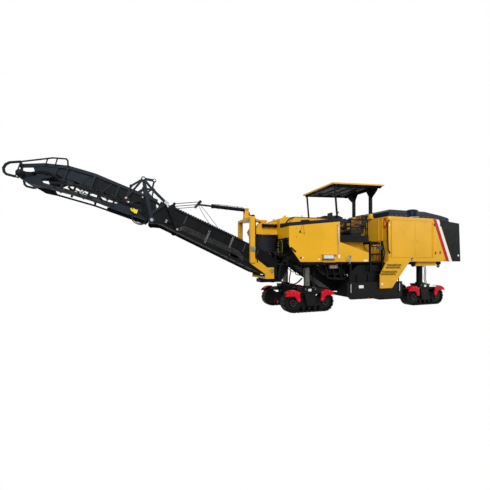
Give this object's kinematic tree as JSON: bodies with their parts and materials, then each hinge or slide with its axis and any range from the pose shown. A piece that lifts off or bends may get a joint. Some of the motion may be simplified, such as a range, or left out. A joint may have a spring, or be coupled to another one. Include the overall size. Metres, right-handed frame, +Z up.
{
  "type": "cold planer milling machine",
  "caption": "Large track-mounted cold planer with a milling drum between its tracks, a folding front discharge conveyor that slews and lifts, and a roofed operator platform.",
  "frame": {"origin": "on the ground, under the middle of the whole machine's box", "axes": "+X forward towards the discharge conveyor's tip, +Y to the machine's left, +Z up"},
  "size_m": [14.0426, 2.554, 4.2074],
  "materials": {
    "yellow_paint": "satin",
    "black_paint": "satin",
    "red_paint": "satin",
    "belt_rubber": "matt",
    "rubber_skirt": "matt",
    "grey_steel": "matt",
    "track_steel": "matt",
    "chrome_rod": "polished",
    "seat_cover": "matt",
    "console_plastic": "matt"
  },
  "bodies": {
    "chassis": {"main_frame": "black_paint", "nose_frame": "black_paint", "front_body": "yellow_paint", "front_band": "black_paint", "slew_head": "yellow_paint", "slew_cylinders": "black_paint", "transfer_shroud": "rubber_skirt", "primary_conveyor": "black_paint", "primary_belt": "belt_rubber", "mid_body": "yellow_paint", "platform": "black_paint", "consoles": "console_plastic", "side_rails": "black_paint", "roof": "yellow_paint", "roof_frame": "black_paint", "engine_house": "yellow_paint", "engine_block": "black_paint", "rear_cowl": "black_paint", "rear_skirts": "yellow_paint", "seats": "seat_cover", "ladders": "black_paint", "louvre_guards": "yellow_paint", "drum_housing": "black_paint", "guard_barrels": "black_paint"},
    "slew_frame": {"mast": "yellow_paint", "hopper": "rubber_skirt"},
    "lower_section": {"lower_boom": "black_paint", "lower_belt": "belt_rubber"},
    "tip_section": {"upper_boom": "black_paint", "upper_belt": "belt_rubber", "tip_guards": "black_paint"},
    "lift_cylinder": {"lift_barrel": "black_paint"},
    "lift_gear": {"lift_rod": "chrome_rod"},
    "fold_cylinders": {"fold_barrel_left": "black_paint", "fold_barrel_right": "black_paint"},
    "fold_rods": {"fold_rod_left": "chrome_rod", "fold_rod_right": "chrome_rod"},
    "drum": {"milling_drum": "grey_steel"},
    "scraper": {"moldboard": "black_paint"},
    "hood": {"engine_hood": "black_paint"},
    "edge_guard_left": {"side_guard_left": "grey_steel"},
    "leg_front_left": {"track_frame_front_left": "grey_steel", "track_front_left": "track_steel", "fenders_front_left": "red_paint"},
    "door_front_left": {"engine_door_front_left": "yellow_paint"},
    "leg_rear_left": {"track_frame_rear_left": "grey_steel", "track_rear_left": "track_steel", "fenders_rear_left": "red_paint"},
    "door_rear_left": {"engine_door_rear_left": "yellow_paint"},
    "edge_guard_right": {"side_guard_right": "grey_steel"},
    "leg_front_right": {"track_frame_front_right": "grey_steel", "track_front_right": "track_steel", "fenders_front_right": "red_paint"},
    "door_front_right": {"engine_door_front_right": "yellow_paint"},
    "leg_rear_right": {"track_frame_rear_right": "grey_steel", "track_rear_right": "track_steel", "fenders_rear_right": "red_paint"},
    "door_rear_right": {"engine_door_rear_right": "yellow_paint"}
  },
  "joints": [
    {"name": "conveyor_slew", "type": "hinge", "parent": "chassis", "child": "slew_frame", "pos_m": [0.24867, 0, 1.5], "axis": [0, 0, 1], "range_deg": [-45, 45]},
    {"name": "conveyor_lift", "type": "hinge", "parent": "slew_frame", "child": "lower_section", "pos_m": [0.16867, 0, 1.29], "axis": [0, -1, 0], "range_deg": [-6, 6]},
    {"name": "conveyor_fold", "type": "hinge", "parent": "lower_section", "child": "tip_section", "pos_m": [3.68819, 0, 2.70038], "axis": [0, 1, 0], "range_deg": [0, 40]},
    {"name": "lift_cylinder_tilt", "type": "hinge", "parent": "slew_frame", "child": "lift_cylinder", "pos_m": [0.79867, 0, 3.21], "axis": [0, -1, 0], "range_deg": [-11, 11]},
    {"name": "lift_cylinder_stroke", "type": "slide", "parent": "lift_cylinder", "child": "lift_gear", "axis": [0.9983, 0, 0.058], "range_m": [-0.26, 0.26]},
    {"name": "fold_cylinder_tilt", "type": "hinge", "parent": "lower_section", "child": "fold_cylinders", "pos_m": [3.02045, 0, 2.45802], "axis": [0, 1, 0], "range_deg": [-2, 22]},
    {"name": "fold_cylinder_stroke", "type": "slide", "parent": "fold_cylinders", "child": "fold_rods", "axis": [0.3711, 0, 0.9286], "range_m": [-0.02, 0.36]},
    {"name": "drum_spin", "type": "hinge", "parent": "chassis", "child": "drum", "pos_m": [-3.29133, 0, 0.9], "axis": [0, 1, 0], "continuous": true},
    {"name": "scraper_hinge", "type": "hinge", "parent": "chassis", "child": "scraper", "pos_m": [-4.11433, 0, 1.13], "axis": [0, 1, 0], "range_deg": [0, 45]},
    {"name": "hood_hinge", "type": "hinge", "parent": "chassis", "child": "hood", "pos_m": [-6.62633, 0, 3.012], "axis": [0, -1, 0], "range_deg": [0, 30]},
    {"name": "edge_guard_left_lift", "type": "slide", "parent": "chassis", "child": "edge_guard_left", "axis": [0, 0, 1], "range_m": [0, 0.3]},
    {"name": "steer_front_left", "type": "hinge", "parent": "chassis", "child": "leg_front_left", "pos_m": [-0.96133, 0.76, 1.2], "axis": [0, 0, 1], "range_deg": [-15, 15]},
    {"name": "door_front_left_hinge", "type": "hinge", "parent": "chassis", "child": "door_front_left", "pos_m": [-3.84133, 1.264, 2.3], "axis": [0, 0, -1], "range_deg": [0, 100]},
    {"name": "steer_rear_left", "type": "hinge", "parent": "chassis", "child": "leg_rear_left", "pos_m": [-5.62133, 0.76, 1.2], "axis": [0, 0, 1], "range_deg": [-15, 15]},
    {"name": "door_rear_left_hinge", "type": "hinge", "parent": "chassis", "child": "door_rear_left", "pos_m": [-5.68133, 1.264, 2.3], "axis": [0, 0, 1], "range_deg": [0, 100]},
    {"name": "edge_guard_right_lift", "type": "slide", "parent": "chassis", "child": "edge_guard_right", "axis": [0, 0, 1], "range_m": [0, 0.3]},
    {"name": "steer_front_right", "type": "hinge", "parent": "chassis", "child": "leg_front_right", "pos_m": [-0.96133, -0.76, 1.2], "axis": [0, 0, 1], "range_deg": [-15, 15]},
    {"name": "door_front_right_hinge", "type": "hinge", "parent": "chassis", "child": "door_front_right", "pos_m": [-3.84133, -1.264, 2.3], "axis": [0, 0, 1], "range_deg": [0, 100]},
    {"name": "steer_rear_right", "type": "hinge", "parent": "chassis", "child": "leg_rear_right", "pos_m": [-5.62133, -0.76, 1.2], "axis": [0, 0, 1], "range_deg": [-15, 15]},
    {"name": "door_rear_right_hinge", "type": "hinge", "parent": "chassis", "child": "door_rear_right", "pos_m": [-5.68133, -1.264, 2.3], "axis": [0, 0, -1], "range_deg": [0, 100]}
  ],
  "couplings": [
    {"joint": "lift_cylinder_tilt", "follows": "conveyor_lift", "ratio": 1.3281},
    {"joint": "lift_cylinder_stroke", "follows": "conveyor_lift", "m_per_rad": -1.9492},
    {"joint": "fold_cylinder_tilt", "follows": "conveyor_fold", "ratio": 0.425},
    {"joint": "fold_cylinder_stroke", "follows": "conveyor_fold", "m_per_rad": 0.468}
  ]
}
